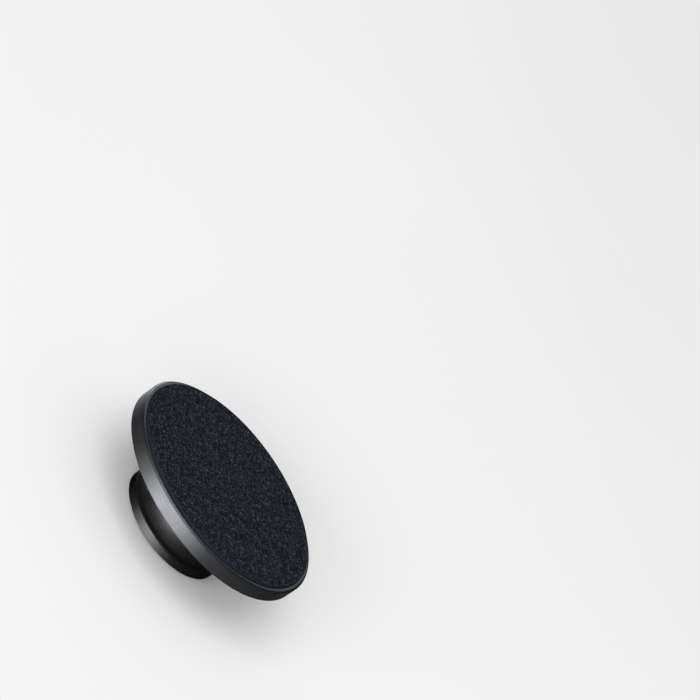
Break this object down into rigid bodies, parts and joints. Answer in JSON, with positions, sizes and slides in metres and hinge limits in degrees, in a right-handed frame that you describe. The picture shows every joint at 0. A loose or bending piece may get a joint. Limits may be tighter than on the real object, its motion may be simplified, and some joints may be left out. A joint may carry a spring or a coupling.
{
  "type": "magnetic phone holder",
  "caption": "Low round phone holder: a thin magnetic disc head with a dark grained face and metal rim, on a ball joint over a small round stick-on base.",
  "frame": {"origin": "centre of the adhesive face under the base", "axes": "+Z from the base through the ball centre to the phone face; +X along the tilt axis"},
  "size_m": [0.06, 0.06, 0.0199],
  "materials": {
    "face_leather": "matte",
    "rim_metal": "satin",
    "base_metal": "satin",
    "cover_plastic": "matte",
    "carrier_plastic": "matte",
    "magnet_plating": "satin",
    "yoke_steel": "satin",
    "stud_steel": "polished",
    "screw_steel": "satin",
    "spring_steel": "satin",
    "plate_steel": "satin",
    "seat_plastic": "satin",
    "foam": "matte"
  },
  "bodies": {
    "base": {"adhesive_pad": "foam", "base_plate": "plate_steel", "base_housing": "base_metal", "plate_screws": "screw_steel", "disc_spring": "spring_steel"},
    "seats": {"lower_seat": "seat_plastic", "upper_seat": "seat_plastic"},
    "stud": {"ball_stud": "stud_steel", "stud_screw": "screw_steel"},
    "head": {"head_shell": "rim_metal", "steel_yoke": "yoke_steel", "magnet_carrier": "carrier_plastic", "magnet_01": "magnet_plating", "magnet_02": "magnet_plating", "magnet_03": "magnet_plating", "magnet_04": "magnet_plating", "magnet_05": "magnet_plating", "magnet_06": "magnet_plating", "magnet_07": "magnet_plating", "magnet_08": "magnet_plating", "magnet_09": "magnet_plating", "magnet_10": "magnet_plating", "magnet_11": "magnet_plating", "magnet_12": "magnet_plating", "magnet_13": "magnet_plating", "magnet_14": "magnet_plating", "magnet_15": "magnet_plating", "magnet_16": "magnet_plating", "cover_plate": "cover_plastic", "face_pad": "face_leather"}
  },
  "joints": [
    {"name": "head_pan", "type": "hinge", "parent": "base", "child": "seats", "pos_m": [0, 0, 0.00755], "axis": [0, 0, 1], "continuous": true},
    {"name": "head_tilt", "type": "hinge", "parent": "seats", "child": "stud", "pos_m": [0, 0, 0.00755], "axis": [1, 0, 0], "range_deg": [-25, 25]},
    {"name": "head_roll", "type": "hinge", "parent": "stud", "child": "head", "pos_m": [0, 0, 0.01544], "axis": [0, 0, 1], "continuous": true}
  ]
}
